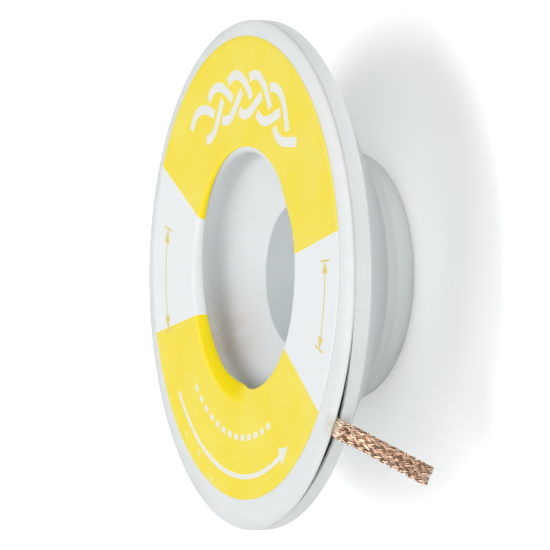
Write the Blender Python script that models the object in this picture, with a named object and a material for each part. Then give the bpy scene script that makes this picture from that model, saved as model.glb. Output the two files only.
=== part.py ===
"""Desoldering braid on its dispenser bobbin.

Two thin mouldings make the bobbin. The front moulding is a flat flange with a sunk hub, whose tube runs
back through the rear moulding. The rear moulding is a cone that ends in a round boss. The braid is wound
in the wedge between them and comes out through the seam of the two rims, which is spread there. A ring
of paper is stuck on the front.

The bobbin's axis is Z, the label faces +Z, and the boss's flat end stands on the plane Z = 0. A depth is
measured down from the label's face. Lengths are in metres.
"""

import math

import bmesh
import bpy
from mathutils import Matrix, Vector

# Bobbin as a whole
RIM_RADIUS = 0.0210
BODY_HEIGHT = 0.0115
CLEARANCE = 0.0003

# Front moulding
FRONT_RIM_DEPTH = 0.00045
RIM_ROUND_WIDTH = 0.0014
RIM_ROUND_DROP = 0.0004
PLATE_THICKNESS = 0.0005
LIP_WIDTH = 0.0005
LIP_SLOPE_WIDTH = 0.0012
HUB_WALL = 0.0010
RECESS_RADIUS = 0.0101
RECESS_FLOOR_DEPTH = 0.0019
RECESS_FILLET = 0.0008
BORE_RADIUS = 0.0059
BORE_LIP_DEPTH = 0.00475

# Label, stuck on a little off centre
LABEL_MARGIN = 0.0019
LABEL_HOLE_RADIUS = 0.0100
LABEL_THICKNESS = 0.00015
LABEL_SHIFT = (-0.0003, 0.0006)

# Rear moulding
REAR_BAND_HEIGHT = 0.00105
REAR_BAND_ROUND = 0.0002
SHELL_THICKNESS = 0.0008
BOSS_BASE_RADIUS = 0.0114
BOSS_BASE_DEPTH = 0.0079
BOSS_RADIUS = 0.0105
BOSS_ROUND = 0.0023

# Braid, and the slit that it comes out of
BRAID_WIDTH = 0.00165
BRAID_THICKNESS = 0.00035
COIL_ROW_HEIGHT = 0.0016
EXIT_ANGLE = math.radians(-35.0)
SLIT_HALF_ANGLE = math.radians(26.0)

# The tail's route in the plane of the axis and the exit: distance from the axis and depth
TAIL_ROUTE = [
    (0.01760, 0.001440),
    (0.01840, 0.001440),
    (0.01920, 0.001430),
    (0.01990, 0.001190),
    (0.02060, 0.000925),
    (0.02120, 0.000925),
    (0.02200, 0.001300),
    (0.02350, 0.002450),
    (0.02570, 0.004250),
    (0.02790, 0.006050),
]
TAIL_STEPS_PER_SPAN = 3

# Facets
TURN_STEPS = 96
ROUND_STEPS = 5
MERGE_DISTANCE = 0.000001

# Values that follow from the sizes above
SEAT_DEPTH = LABEL_THICKNESS + CLEARANCE
PLATE_DEPTH = SEAT_DEPTH + PLATE_THICKNESS
REAR_RIM_DEPTH = FRONT_RIM_DEPTH + CLEARANCE
BAND_DEPTH = REAR_RIM_DEPTH + REAR_BAND_HEIGHT
CONE_SLOPE = (BOSS_BASE_DEPTH - BAND_DEPTH) / (RIM_RADIUS - BOSS_BASE_RADIUS)
LABEL_RADIUS = RIM_RADIUS - LABEL_MARGIN
LIP_RADIUS = RIM_RADIUS - LIP_WIDTH
HUB_TUBE_RADIUS = BORE_RADIUS + HUB_WALL
HUB_RADIUS = RECESS_RADIUS + HUB_WALL
SLIT_DROP = BRAID_THICKNESS + CLEARANCE


def clear_scene():
    """Remove whatever the file holds."""
    for item in list(bpy.data.objects):
        bpy.data.objects.remove(item, do_unlink=True)


def material(name, colour, roughness, metallic=0.0):
    """Return a Principled material of one colour, given as linear red, green and blue."""
    made = bpy.data.materials.new(name)
    made.use_nodes = True
    shader = made.node_tree.nodes["Principled BSDF"]
    shader.inputs["Base Color"].default_value = (*colour, 1.0)
    shader.inputs["Roughness"].default_value = roughness
    shader.inputs["Metallic"].default_value = metallic
    made.diffuse_color = (*colour, 1.0)
    return made


def arc(centre, radii, start, end, steps=ROUND_STEPS):
    """Return points of an elliptical arc in (radius, depth), with angles in degrees from outward to deeper."""
    points = []
    for step in range(steps + 1):
        angle = math.radians(start + (end - start) * step / steps)
        points.append((centre[0] + radii[0] * math.cos(angle), centre[1] + radii[1] * math.sin(angle)))
    return points


def turned(name, profile, finish=None):
    """Return an object turned about Z from a closed outline of (radius, depth) points."""
    mesh = bpy.data.meshes.new(name)
    shape = bmesh.new()
    corners = [shape.verts.new((radius, 0.0, BODY_HEIGHT - depth)) for radius, depth in profile]
    edges = [shape.edges.new((corner, corners[index - 1])) for index, corner in enumerate(corners)]
    bmesh.ops.spin(
        shape,
        geom=corners + edges,
        axis=(0.0, 0.0, 1.0),
        cent=(0.0, 0.0, 0.0),
        steps=TURN_STEPS,
        angle=math.tau,
        use_merge=True,
    )
    bmesh.ops.remove_doubles(shape, verts=shape.verts, dist=MERGE_DISTANCE)
    bmesh.ops.recalc_face_normals(shape, faces=shape.faces)
    shape.to_mesh(mesh)
    shape.free()
    mesh.shade_smooth()
    mesh.set_sharp_from_angle(angle=math.radians(35.0))
    if finish:
        mesh.materials.append(finish)
    item = bpy.data.objects.new(name, mesh)
    bpy.context.collection.objects.link(item)
    return item


def shell_depth(radius):
    """Return the depth of the rear cone's inner face at a radius, one shell thickness above its outer face."""
    return BAND_DEPTH + CONE_SLOPE * (RIM_RADIUS - radius) - SHELL_THICKNESS * math.hypot(1.0, CONE_SLOPE)


def wedge_radius(depth):
    """Return the radius at which something of a depth still clears the rear cone's inner face."""
    clear_depth = depth + (SHELL_THICKNESS + CLEARANCE) * math.hypot(1.0, CONE_SLOPE)
    return RIM_RADIUS - (clear_depth - BAND_DEPTH) / CONE_SLOPE


def hub_cone_depth(radius):
    """Return the depth of the sunk hub's outer cone at a radius, one wall below its inner cone."""
    slope = (BORE_LIP_DEPTH - RECESS_FLOOR_DEPTH) / (RECESS_RADIUS - BORE_RADIUS)
    return RECESS_FLOOR_DEPTH + slope * (RECESS_RADIUS - radius) + HUB_WALL * math.hypot(1.0, slope)


def front_flange(finish):
    """Return the front moulding: rounded rim, label seat, sunk hub and the tube through the bobbin."""
    tube_end = BODY_HEIGHT - CLEARANCE
    outline = arc((RIM_RADIUS - RIM_ROUND_WIDTH, RIM_ROUND_DROP), (RIM_ROUND_WIDTH, RIM_ROUND_DROP), -90.0, 0.0)
    outline += [
        (RIM_RADIUS, FRONT_RIM_DEPTH),
        (LIP_RADIUS, FRONT_RIM_DEPTH),
        (LIP_RADIUS - LIP_SLOPE_WIDTH, PLATE_DEPTH),
        (HUB_RADIUS, PLATE_DEPTH),
        (HUB_RADIUS, hub_cone_depth(HUB_RADIUS)),
        (HUB_TUBE_RADIUS, hub_cone_depth(HUB_TUBE_RADIUS)),
        (HUB_TUBE_RADIUS, tube_end),
        (BORE_RADIUS, tube_end),
        (BORE_RADIUS, BORE_LIP_DEPTH),
    ]
    outline += recess_corner()
    outline.append((RECESS_RADIUS, 0.0))
    item = turned("front_flange", outline, finish)
    cut = item.modifiers.new("label_seat", "BOOLEAN")
    cut.operation = "DIFFERENCE"
    cut.solver = "EXACT"
    cut.object = label_seat_cutter()
    return item


def label_seat_cutter():
    """Return the disc that cuts the label's shallow seat, open at the front."""
    radius = LABEL_RADIUS + CLEARANCE
    outline = [(0.0, -CLEARANCE), (radius, -CLEARANCE), (radius, SEAT_DEPTH), (0.0, SEAT_DEPTH)]
    cutter = turned("label_seat_cutter", outline)
    cutter.location = (*LABEL_SHIFT, 0.0)
    cutter.display_type = "WIRE"
    cutter.hide_render = True
    return cutter


def recess_corner():
    """Return the rounded corner between the hub's inner cone and the recess wall, from the cone upward."""
    rise = BORE_LIP_DEPTH - RECESS_FLOOR_DEPTH
    run = RECESS_RADIUS - BORE_RADIUS
    cone_angle = math.atan2(rise, run)
    tangent = RECESS_FILLET * math.tan((math.pi / 2.0 - cone_angle) / 2.0)
    centre = (RECESS_RADIUS - RECESS_FILLET, RECESS_FLOOR_DEPTH - tangent)
    return arc(centre, (RECESS_FILLET, RECESS_FILLET), 90.0 - math.degrees(cone_angle), 0.0, 4)


def rear_body(finish):
    """Return the rear moulding: rim band, cone and round boss, with the rim let down where the braid leaves."""
    hole_radius = HUB_TUBE_RADIUS + CLEARANCE
    slope_foot = LIP_RADIUS - LIP_SLOPE_WIDTH
    round_depth = BODY_HEIGHT - BOSS_ROUND
    boss_inner_round = BOSS_ROUND - SHELL_THICKNESS
    cone_foot = BOSS_BASE_RADIUS - SHELL_THICKNESS
    outline = [
        (RIM_RADIUS, REAR_RIM_DEPTH),
        (RIM_RADIUS, BAND_DEPTH - REAR_BAND_ROUND),
        (RIM_RADIUS - REAR_BAND_ROUND, BAND_DEPTH),
        (BOSS_BASE_RADIUS, BOSS_BASE_DEPTH),
    ]
    outline += arc((BOSS_RADIUS - BOSS_ROUND, round_depth), (BOSS_ROUND, BOSS_ROUND), 0.0, 90.0)
    outline += [(hole_radius, BODY_HEIGHT), (hole_radius, BODY_HEIGHT - SHELL_THICKNESS)]
    outline += arc((BOSS_RADIUS - BOSS_ROUND, round_depth), (boss_inner_round, boss_inner_round), 90.0, 0.0, 4)
    outline += [
        (cone_foot, shell_depth(cone_foot)),
        (slope_foot, shell_depth(slope_foot)),
        (LIP_RADIUS, REAR_RIM_DEPTH),
    ]
    item = turned("rear_body", outline, finish)
    open_slit(item.data)
    return item


def open_slit(mesh):
    """Let the rear rim's upper edge down in a smooth bay around the exit, deep enough for the braid."""
    edge_height = BODY_HEIGHT - REAR_RIM_DEPTH
    for vertex in mesh.vertices:
        if vertex.co.z < edge_height - CLEARANCE:
            continue
        turn = math.atan2(vertex.co.y, vertex.co.x) - EXIT_ANGLE
        turn = (turn + math.pi) % math.tau - math.pi
        if abs(turn) < SLIT_HALF_ANGLE:
            vertex.co.z -= SLIT_DROP * math.cos(math.pi / 2.0 * turn / SLIT_HALF_ANGLE) ** 2
    mesh.update()


def face_label(finish):
    """Return the printed paper ring, seated in the front moulding and flush with its face."""
    outline = [
        (LABEL_HOLE_RADIUS, 0.0),
        (LABEL_RADIUS, 0.0),
        (LABEL_RADIUS, LABEL_THICKNESS),
        (LABEL_HOLE_RADIUS, LABEL_THICKNESS),
    ]
    item = turned("face_label", outline, finish)
    item.location = (*LABEL_SHIFT, 0.0)
    return item


def braid_coil(finish):
    """Return the wound braid as one turned ring, two rows deep near the hub and one row further out."""
    inner_radius = HUB_RADIUS + CLEARANCE
    top = PLATE_DEPTH + CLEARANCE
    middle = top + COIL_ROW_HEIGHT
    bottom = middle + COIL_ROW_HEIGHT
    outline = [
        (inner_radius, top),
        (wedge_radius(middle), top),
        (wedge_radius(middle), middle),
        (wedge_radius(bottom), bottom),
        (inner_radius, bottom),
    ]
    return turned("braid_coil", outline, finish)


def smooth_curve(points, steps):
    """Return points of a curve through the given points, each span bent by its neighbours."""
    first = points[0] * 2.0 - points[1]
    last = points[-1] * 2.0 - points[-2]
    padded = [first, *points, last]
    made = []
    for index in range(1, len(padded) - 2):
        before, start, end, after = padded[index - 1:index + 3]
        for step in range(steps):
            share = step / steps
            bend = (
                start * 2.0
                + (end - before) * share
                + (before * 2.0 - start * 5.0 + end * 4.0 - after) * share ** 2
                + (start * 3.0 - before - end * 3.0 + after) * share ** 3
            )
            made.append(bend / 2.0)
    made.append(points[-1].copy())
    return made


def braid_tail(finish):
    """Return the flat end of the braid, from the coil through the slit and down behind the rim."""
    curve = bpy.data.curves.new("braid_tail", "CURVE")
    curve.dimensions = "3D"
    curve.twist_mode = "Z_UP"
    curve.fill_mode = "FULL"
    curve.use_fill_caps = True
    curve.bevel_depth = BRAID_THICKNESS / 2.0
    curve.bevel_resolution = 2
    curve.extrude = (BRAID_WIDTH - BRAID_THICKNESS) / 2.0
    route = [Vector((radius, BODY_HEIGHT - depth, 0.0)) for radius, depth in TAIL_ROUTE]
    points = smooth_curve(route, TAIL_STEPS_PER_SPAN)
    spline = curve.splines.new("POLY")
    spline.points.add(len(points) - 1)
    for target, point in zip(spline.points, points):
        target.co = (*point, 1.0)
    curve.materials.append(finish)
    item = bpy.data.objects.new("braid_tail", curve)
    # The curve's own X runs outward at the exit and its own Y runs up the axis.
    outward = Vector((math.cos(EXIT_ANGLE), math.sin(EXIT_ANGLE), 0.0))
    upward = Vector((0.0, 0.0, 1.0))
    item.matrix_world = Matrix((outward, upward, outward.cross(upward))).transposed().to_4x4()
    bpy.context.collection.objects.link(item)
    return item


def main():
    """Build every piece of the bobbin and gather them under one empty."""
    clear_scene()
    plastic = material("white_plastic", (0.74, 0.79, 0.80), 0.35)
    paper = material("label_paper", (0.87, 0.74, 0.16), 0.55)
    copper = material("braid_copper", (0.62, 0.30, 0.18), 0.38, 1.0)
    root = bpy.data.objects.new("bobbin", None)
    bpy.context.collection.objects.link(root)
    pieces = [
        front_flange(plastic),
        rear_body(plastic),
        face_label(paper),
        braid_coil(copper),
        braid_tail(copper),
    ]
    for piece in pieces:
        piece.parent = root


main()
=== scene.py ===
"""The finished surfaces of a desoldering braid on its dispenser bobbin, with its camera and its studio.

The bobbin's axis is Z, the printed label faces +Z, and the boss's flat end stands on the plane Z = 0.
A depth is measured down from the label's face, and an azimuth turns from +X towards +Y. Lengths are in
metres, and a size that is written in millimetres is multiplied by MM.
"""

import logging
import math
from dataclasses import dataclass, field
from enum import Enum

import bpy
import numpy as np
from mathutils import Matrix, Vector


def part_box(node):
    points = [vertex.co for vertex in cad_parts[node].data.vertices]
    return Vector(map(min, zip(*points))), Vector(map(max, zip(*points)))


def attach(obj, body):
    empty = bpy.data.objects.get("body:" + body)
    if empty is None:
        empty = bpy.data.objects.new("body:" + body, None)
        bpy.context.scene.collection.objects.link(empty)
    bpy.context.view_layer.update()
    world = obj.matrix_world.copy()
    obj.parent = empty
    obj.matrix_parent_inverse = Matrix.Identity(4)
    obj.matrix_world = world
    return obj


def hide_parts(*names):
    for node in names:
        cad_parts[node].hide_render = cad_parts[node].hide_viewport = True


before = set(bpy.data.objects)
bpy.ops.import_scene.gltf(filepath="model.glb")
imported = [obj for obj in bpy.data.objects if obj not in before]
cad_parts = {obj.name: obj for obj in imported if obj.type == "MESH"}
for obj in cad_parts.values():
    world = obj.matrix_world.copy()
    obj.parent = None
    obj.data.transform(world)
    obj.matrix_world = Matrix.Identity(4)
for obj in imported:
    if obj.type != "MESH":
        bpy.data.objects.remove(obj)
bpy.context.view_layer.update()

MM = 0.001
BODY = "root"
BODY_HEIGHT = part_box("front_flange")[1].z
RIM_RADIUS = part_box("rear_body")[1].y
TURN_STEPS = 288
SPAN_STEPS = 24
SUPPORT_REACH = 0.03 * MM
LONG_SIDE = 4.0 * SUPPORT_REACH
SHARP_ANGLE = math.radians(38.0)

RISING = (0.0, 1.0)
FALLING = (1.0, 0.0)
WHITE = (1.0, 1.0, 1.0, 1.0)

LOG = logging.getLogger("bobbin")

Pair = tuple[float, float]
Point = tuple[float, float, float]
Colour = tuple[float, float, float, float]
Socket = bpy.types.NodeSocket
Material = bpy.types.Material
Piece = bpy.types.Object


class Slot(Enum):
    """The record's material slots."""

    PLASTIC = "white_plastic"
    PAPER = "label_paper"
    COPPER = "braid_copper"


class Lay(Enum):
    """The two ways that the braid's strands run round it."""

    RIGHT = 1.0
    LEFT = -1.0


@dataclass
class Surface:
    """A mesh as arrays: points, polygons grouped by their number of corners, and values at the points."""

    points: np.ndarray
    polygons: list[np.ndarray]
    values: dict[str, np.ndarray] = field(default_factory=dict)

    def volume(self) -> float:
        """Work out six times the signed volume: each polygon's triangles, as triple products, summed.

        Returns:
            The sum, negative where the polygons face inward.
        """
        total = 0.0
        for group in self.polygons:
            corner = self.points[group]
            for index in range(1, group.shape[1] - 1):
                side = np.cross(corner[:, index], corner[:, index + 1])
                total += float(np.einsum("ij,ij->", corner[:, 0], side))
        return total

    def facing_out(self) -> "Surface":
        """Turn every polygon over if the volume is negative.

        Returns:
            The surface with its faces outward.
        """
        if self.volume() >= 0.0:
            return self
        return Surface(self.points, [group[:, ::-1] for group in self.polygons], self.values)


def joined(surfaces: list[Surface]) -> Surface:
    """Join surfaces into one, with their points one after another.

    Args:
        surfaces: The surfaces, all with the same named values.

    Returns:
        One surface that holds them all.
    """
    starts = np.cumsum([0] + [len(surface.points) for surface in surfaces[:-1]])
    polygons = [group + start for surface, start in zip(surfaces, starts) for group in surface.polygons]
    names = surfaces[0].values
    values = {name: np.concatenate([surface.values[name] for surface in surfaces]) for name in names}
    return Surface(np.concatenate([surface.points for surface in surfaces]), polygons, values)


def grid_quads(rows: int, columns: int, ring: bool) -> np.ndarray:
    """Number the quads of a grid of points, whose columns always close on themselves.

    A cell's corners are its own point, the next row's, that one's next column's and its own next column's.

    Args:
        rows: Number of rows.
        columns: Number of columns.
        ring: Whether the last row meets the first.

    Returns:
        Point numbers, four for each quad.
    """
    row, column = np.meshgrid(np.arange(rows if ring else rows - 1), np.arange(columns), indexing="ij")
    next_row, next_column = (row + 1) % rows, (column + 1) % columns
    corners = [row * columns + column, next_row * columns + column]
    corners += [next_row * columns + next_column, row * columns + next_column]
    return np.stack(corners, axis=-1).reshape(-1, 4)


def ring_surface(grid: np.ndarray, values: dict[str, np.ndarray] | None = None) -> Surface:
    """Close a grid of points on itself both ways.

    Args:
        grid: Points by row, column and axis.
        values: Values at the points, by row and column.

    Returns:
        The closed surface, its faces outward.
    """
    rows, columns = grid.shape[:2]
    flat = {name: value.reshape(rows * columns, *value.shape[2:]) for name, value in (values or {}).items()}
    return Surface(grid.reshape(-1, 3), [grid_quads(rows, columns, True)], flat).facing_out()


def swept_surface(grid: np.ndarray, values: dict[str, np.ndarray] | None = None) -> Surface:
    """Close many swept sections at both ends.

    Args:
        grid: Points by strand, step, point of the section and axis.
        values: Values at each step, by strand and step.

    Returns:
        The closed surfaces as one, their faces outward.
    """
    strands, steps, count = grid.shape[:3]
    first = np.arange(strands)[:, None] * steps * count
    quads = (grid_quads(steps, count, False)[None] + first[:, :, None]).reshape(-1, 4)
    near = first + np.arange(count)[::-1]
    far = first + (steps - 1) * count + np.arange(count)
    flat = {name: np.repeat(value.reshape(-1), count) for name, value in (values or {}).items()}
    return Surface(grid.reshape(-1, 3), [quads, near, far], flat).facing_out()


def unit(vectors: np.ndarray) -> np.ndarray:
    """Return vectors divided by their lengths."""
    return vectors / np.linalg.norm(vectors, axis=-1, keepdims=True)


def smooth_step(value: np.ndarray, low: float, high: float) -> np.ndarray:
    """Return 0 below low, 1 above high and a cubic ramp with level ends between them."""
    share = np.clip((value - low) / (high - low), 0.0, 1.0)
    return share * share * (3.0 - 2.0 * share)


def arc(centre: Pair, radius: float, start: float, end: float, steps: int) -> np.ndarray:
    """Work out an arc in radius and depth: the centre plus the arc's radius times a cosine and a sine.

    Args:
        centre: Radius and depth of the centre.
        radius: The arc's own radius.
        start: First angle in degrees, from outward to deeper.
        end: Last angle in degrees.
        steps: Number of steps between them.

    Returns:
        Points of radius and depth.
    """
    angle = np.radians(np.linspace(start, end, steps + 1))
    return np.stack([centre[0] + radius * np.cos(angle), centre[1] + radius * np.sin(angle)], axis=1)


def supported(outline: np.ndarray) -> np.ndarray:
    """Add a point near both ends of each long side, so that smooth shading stays in the corners.

    Args:
        outline: Points of radius and depth, a closed outline.

    Returns:
        The same outline with the added points.
    """
    following = np.roll(outline, -1, axis=0)
    step = following - outline
    length = np.linalg.norm(step, axis=1)
    shift = step / length[:, None] * SUPPORT_REACH
    chain = np.stack([outline, outline + shift, following - shift], axis=1)
    is_long = length > LONG_SIDE
    keep = np.stack([np.ones_like(is_long), is_long, is_long], axis=1)
    return chain[keep]


def turn_from(azimuth: np.ndarray, start: float) -> np.ndarray:
    """Return how far an azimuth lies past another, from minus to plus half a turn."""
    return (azimuth - start + math.pi) % math.tau - math.pi


def around(steps: int) -> np.ndarray:
    """Return a column of even azimuths once round the axis."""
    return np.linspace(0.0, math.tau, steps, endpoint=False)[:, None]


def stations(line: np.ndarray) -> np.ndarray:
    """Return how far along a line each of its points lies: the lengths of its steps, added up."""
    return np.concatenate([[0.0], np.cumsum(np.linalg.norm(np.diff(line, axis=0), axis=1))])


def level(radius: np.ndarray, azimuth: np.ndarray) -> np.ndarray:
    """Return two level coordinates: the radius times the azimuth's cosine and sine."""
    return np.stack([radius * np.cos(azimuth), radius * np.sin(azimuth)], axis=-1)


def placed(radius: np.ndarray, azimuth: np.ndarray, depth: np.ndarray) -> np.ndarray:
    """Return points: the level coordinates from radius and azimuth, and the height less the depth."""
    radius, azimuth, depth = np.broadcast_arrays(radius, azimuth, depth)
    return np.concatenate([level(radius, azimuth), BODY_HEIGHT - depth[..., None]], axis=-1)


def spot(radius: float, azimuth: float, depth: float) -> Point:
    """Return one point from its radius, azimuth and depth, as plain numbers."""
    return tuple(placed(np.array(radius), np.array(azimuth), np.array(depth)).tolist())


def make_piece(
    name: str, surface: Surface, finishes: list[Material], nodes: tuple[str, ...] = ()
) -> Piece:
    """Make a visible piece that rides on the bobbin.

    Args:
        name: The piece's name.
        surface: Its mesh as arrays, in the bobbin's frame.
        finishes: Its materials, the first of which covers it.
        nodes: The construction's nodes that it stands for.

    Returns:
        The piece's object, at the origin and unturned.
    """
    mesh = bpy.data.meshes.new(name)
    faces = [corners for group in surface.polygons for corners in group.tolist()]
    mesh.from_pydata(surface.points.tolist(), [], faces)
    for label, value in surface.values.items():
        kind, entry = ("FLOAT", "value") if value.ndim == 1 else ("FLOAT_VECTOR", "vector")
        attribute = mesh.attributes.new(label, kind, "POINT")
        attribute.data.foreach_set(entry, value.astype(np.float32).ravel())
    for finish in finishes:
        mesh.materials.append(finish)
    mesh.shade_smooth()
    mesh.set_sharp_from_angle(angle=SHARP_ANGLE)
    mesh.validate()
    piece = bpy.data.objects.new(name, mesh)
    bpy.context.scene.collection.objects.link(piece)
    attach(piece, BODY)
    if nodes:
        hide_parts(*nodes)
    LOG.info("%s: %d points, %d faces", name, len(mesh.vertices), len(mesh.polygons))
    return piece


@dataclass(frozen=True)
class Grain:
    """A noise: its bumps to the metre, its layers of finer bumps, and how strong those are."""

    scale: float
    detail: float = 2.0
    roughness: float = 0.5


@dataclass(frozen=True)
class Stain:
    """A soft spot of another colour on a surface, broken up by a noise."""

    centre: Point
    radius: float
    tint: Colour
    strength: float
    bumps: float = 3.0
    broken_range: Pair = (0.25, 0.6)
    thinnest: float = 0.3

    def grain(self) -> Grain:
        """Return the noise that breaks it up, of a number of bumps to its radius."""
        return Grain(self.bumps / self.radius, 3.0, 0.7)


class NodeGraph:
    """A material's node tree, with short calls that add a node and return its output."""

    def __init__(self, name: str) -> None:
        """Start a material with its surface shader.

        Args:
            name: The material's name.
        """
        self.material = bpy.data.materials.new(name)
        self.material.use_nodes = True
        self.tree = self.material.node_tree
        self.shader = self.tree.nodes["Principled BSDF"]

    def feed(self, socket: Socket, source: object) -> None:
        """Link an output to an input, or write a plain value into it.

        Args:
            socket: The input.
            source: An output, or a value of the input's kind.
        """
        if isinstance(source, Socket):
            self.tree.links.new(source, socket)
        else:
            socket.default_value = source

    def node(self, kind: str, inputs: dict[str | int, object], **settings: object) -> bpy.types.Node:
        """Add a node.

        Args:
            kind: The node's type.
            inputs: Outputs or plain values for its inputs, by name or number.
            **settings: Its own options.

        Returns:
            The node.
        """
        made = self.tree.nodes.new(kind)
        for name, value in settings.items():
            setattr(made, name, value)
        for key, source in inputs.items():
            self.feed(made.inputs[key], source)
        return made

    def place(self) -> Socket:
        """Return the Object coordinates."""
        return self.node("ShaderNodeTexCoord", {}).outputs["Object"]

    def attribute(self, name: str, output: str = "Fac") -> Socket:
        """Return a value that the mesh holds at its points."""
        return self.node("ShaderNodeAttribute", {}, attribute_name=name).outputs[output]

    def noise(self, place: object, grain: Grain) -> Socket:
        """Return a noise at a place."""
        inputs = {"Scale": grain.scale, "Detail": grain.detail, "Roughness": grain.roughness}
        return self.node("ShaderNodeTexNoise", {"Vector": place, **inputs}).outputs["Fac"]

    def maths(self, operation: str, first: object, second: object = 0.0) -> Socket:
        """Return the result of arithmetic on two numbers."""
        return self.node("ShaderNodeMath", {0: first, 1: second}, operation=operation).outputs[0]

    def times(self, first: object, second: object) -> Socket:
        """Return the product of two numbers."""
        return self.maths("MULTIPLY", first, second)

    def vector(self, operation: str, first: object, second: object, output: str = "Vector") -> Socket:
        """Return the result of arithmetic on two vectors."""
        return self.node("ShaderNodeVectorMath", {0: first, 1: second}, operation=operation).outputs[output]

    def ramp(self, value: object, source: Pair, target: Pair = RISING) -> Socket:
        """Carry a value smoothly from one range to another, and hold it at its ends.

        Args:
            value: The value.
            source: The range that it comes from.
            target: The range that it goes to.

        Returns:
            The carried value.
        """
        inputs = dict(enumerate((value, *source, *target)))
        made = self.node("ShaderNodeMapRange", inputs, interpolation_type="SMOOTHSTEP", clamp=True)
        return made.outputs[0]

    def mix(self, share: object, first: object, second: object) -> Socket:
        """Return a blend of two colours."""
        return self.node("ShaderNodeMix", {0: share, 6: first, 7: second}, data_type="RGBA").outputs[2]

    def stained(self, shade: object, place: object, stains: tuple[Stain, ...]) -> object:
        """Lay stains over a colour, each broken up by its noise and fading outward.

        Args:
            shade: The clean colour.
            place: The Object coordinates.
            stains: The stains.

        Returns:
            The stained colour.
        """
        for stain in stains:
            distance = self.vector("DISTANCE", place, stain.centre, "Value")
            edge = self.ramp(distance, (0.0, stain.radius), FALLING)
            patch = self.ramp(self.noise(place, stain.grain()), stain.broken_range, (stain.thinnest, 1.0))
            shade = self.mix(self.times(self.times(edge, patch), stain.strength), shade, stain.tint)
        return shade

    def bump(self, height: object, distance: float, under: Socket | None = None) -> Socket:
        """Disturb a normal by a height.

        Args:
            height: The height, from 0 to 1.
            distance: The rise from 0 to 1, in metres.
            under: The normal to disturb, or None for the surface's own.

        Returns:
            The disturbed normal.
        """
        inputs = {"Height": height, "Distance": distance, "Strength": 1.0}
        if under is not None:
            inputs["Normal"] = under
        return self.node("ShaderNodeBump", inputs).outputs["Normal"]

    def finished(self, **inputs: object) -> Material:
        """Feed the surface shader.

        Args:
            **inputs: Its inputs, whose names have underscores here for their spaces.

        Returns:
            The material.
        """
        for name, source in inputs.items():
            self.feed(self.shader.inputs[name.replace("_", " ")], source)
        return self.material


def colour(red: float, green: float, blue: float) -> Colour:
    """Make a shown colour linear: over 12.92 where it is dark, and else a power of 2.4.

    Args:
        red: Red as a screen shows it, from 0 to 255.
        green: Green in the same way.
        blue: Blue in the same way.

    Returns:
        The opaque colour.
    """
    shown = np.array([red, green, blue]) / 255.0
    linear = np.where(shown <= 0.04045, shown / 12.92, ((shown + 0.055) / 1.055) ** 2.4)
    return (*(float(value) for value in linear), 1.0)


@dataclass(frozen=True)
class MouldedPlastic:
    """White moulded plastic with faint clouds and a fine skin, greyed by painted shade where the mesh's
    value asks for it.
    """

    name: str
    stains: tuple[Stain, ...] = ()
    # painted light: these default whites serve the front moulding and are a little lighter than the rear's
    clear: Colour = colour(234, 238, 240)
    cloudy: Colour = colour(228, 233, 232)
    painted_cone_shade_grey: Colour = colour(198, 205, 206)
    painted_cone_shade_share: float = 0.5
    clouds: Grain = Grain(90.0, 4.0, 0.6)
    cloud_range: Pair = (0.35, 0.7)
    skin: Grain = Grain(2600.0)
    skin_height: float = 0.004 * MM
    scuffs: Grain = Grain(700.0, 5.0, 0.65)
    scuff_range: Pair = (0.3, 0.75)
    scuff_height: float = 0.006 * MM
    roughness: Pair = (0.44, 0.58)
    refraction: float = 1.5
    inner_share: float = 0.25
    inner_reach: Point = (1.0, 1.05, 1.1)
    inner_scale: float = 0.9 * MM
    coat: float = 0.06
    coat_roughness: float = 0.3

    def build(self) -> Material:
        """Make the material: two whites in clouds, roughness in scuffs, and two fine bumps.

        Returns:
            The material.
        """
        graph = NodeGraph(self.name)
        place = graph.place()
        clouds = graph.ramp(graph.noise(place, self.clouds), self.cloud_range)
        shade = graph.mix(clouds, self.clear, self.cloudy)
        # painted shade: grey mixed in by the mesh's painted shade value, which is set on the rear cone
        # under the rim
        shade = graph.mix(graph.times(graph.attribute("painted_cone_shade"), self.painted_cone_shade_share), shade, self.painted_cone_shade_grey)
        scuffs = graph.noise(place, self.scuffs)
        skin = graph.bump(graph.noise(place, self.skin), self.skin_height)
        return graph.finished(
            Base_Color=graph.stained(shade, place, self.stains),
            Roughness=graph.ramp(scuffs, self.scuff_range, self.roughness),
            Normal=graph.bump(scuffs, self.scuff_height, skin),
            IOR=self.refraction,
            Subsurface_Weight=self.inner_share,
            Subsurface_Radius=self.inner_reach,
            Subsurface_Scale=self.inner_scale,
            Coat_Weight=self.coat,
            Coat_Roughness=self.coat_roughness,
        )


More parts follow.
